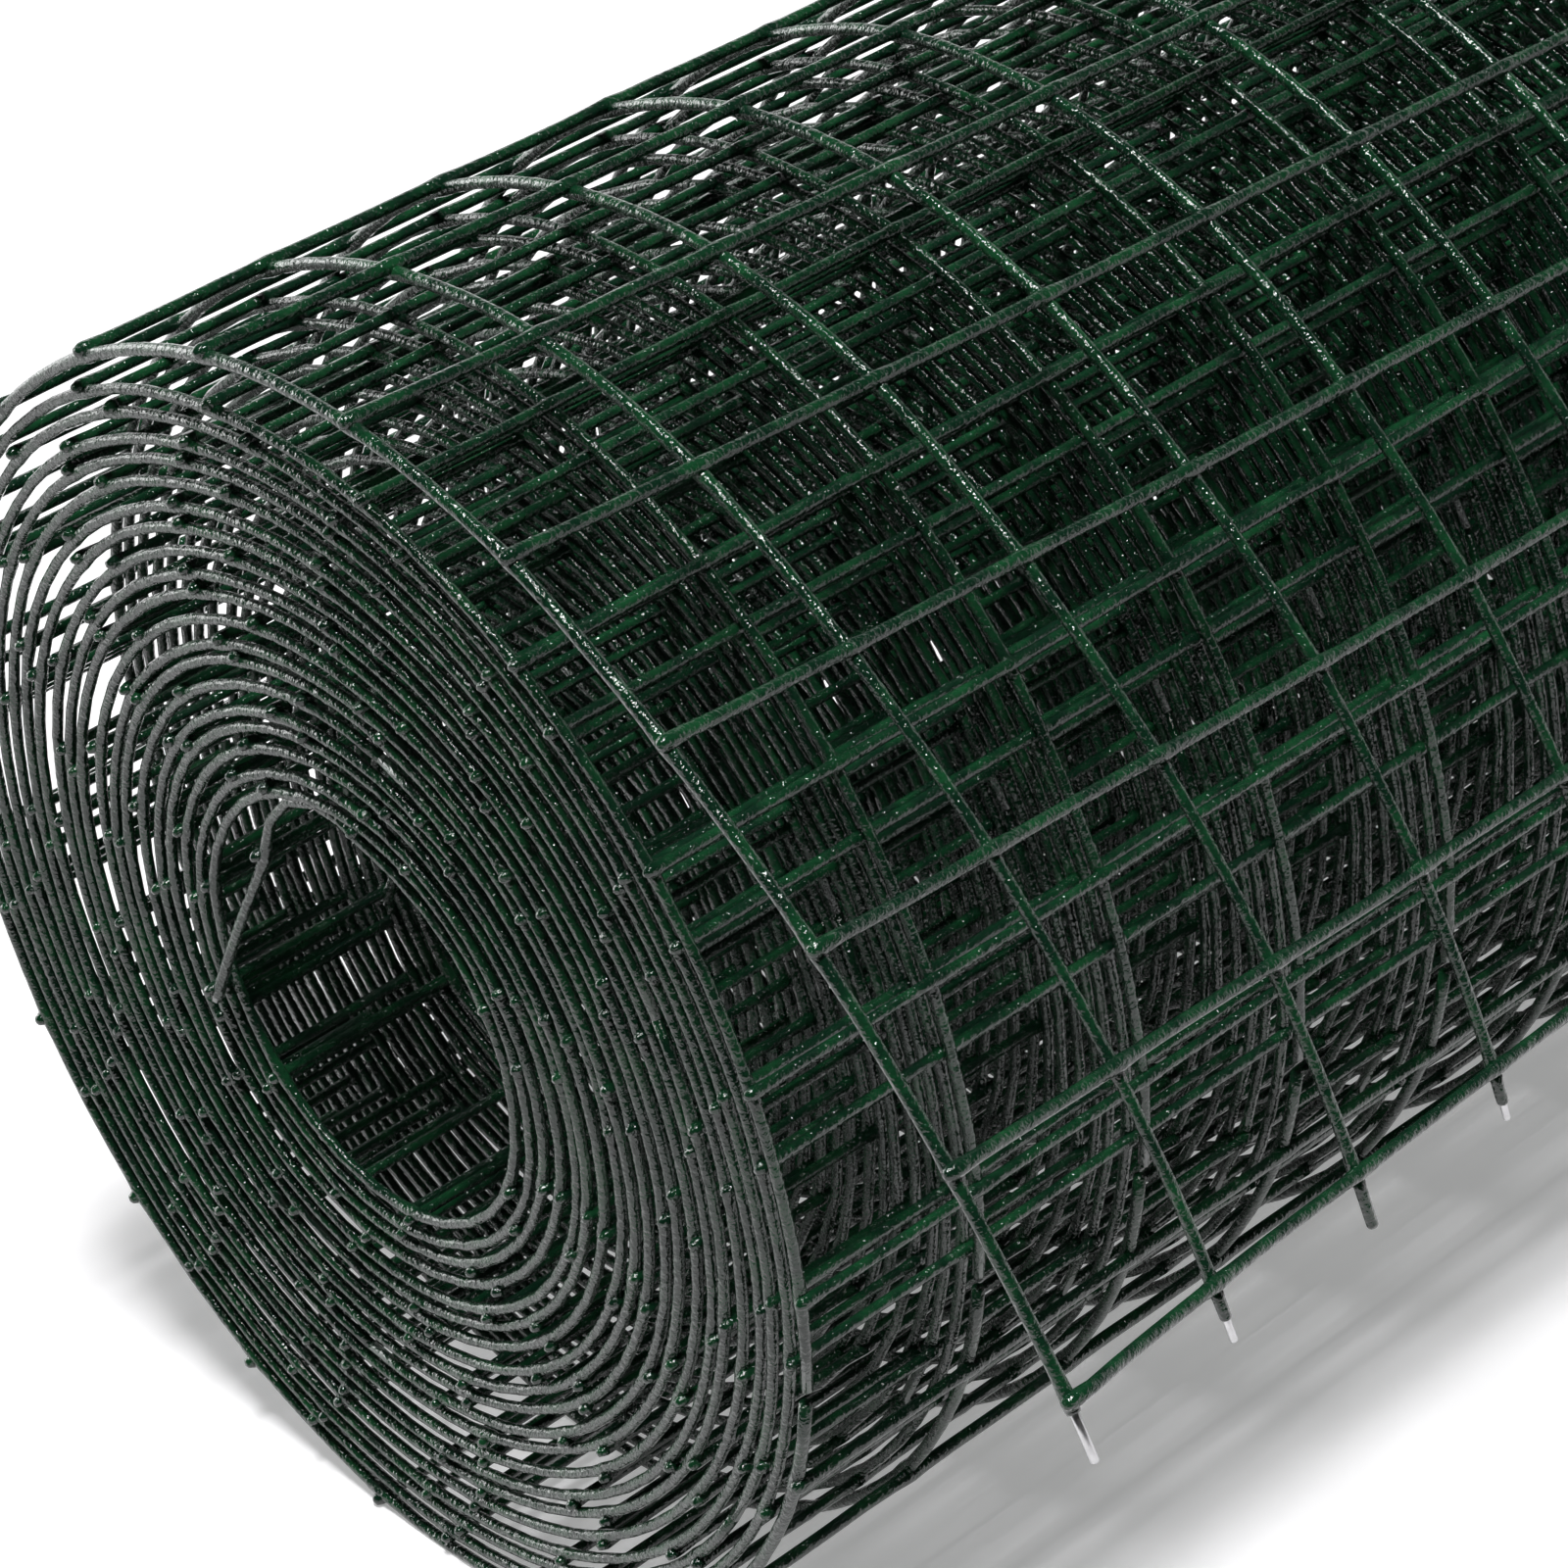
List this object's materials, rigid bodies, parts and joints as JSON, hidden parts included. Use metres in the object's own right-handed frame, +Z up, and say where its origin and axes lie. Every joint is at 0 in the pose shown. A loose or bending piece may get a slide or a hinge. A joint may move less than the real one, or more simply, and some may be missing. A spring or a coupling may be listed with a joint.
{
  "type": "roll of wire fencing",
  "caption": "Roll of square-mesh welded wire fencing with a green plastic coating, lying on its side with its outer end sprung loose.",
  "frame": {"origin": "centre of the part's plan outline, on the floor it lies on", "axes": "+X along the roll from the end where the loose turn stands off, +Z up, -Y towards the side where the loose end hangs"},
  "size_m": [0.5124, 0.1924, 0.1597],
  "materials": {
    "green_coating": "gloss plastic coating on steel wire"
  },
  "bodies": {
    "root": {"fencing_roll": "green_coating"}
  },
  "joints": []
}
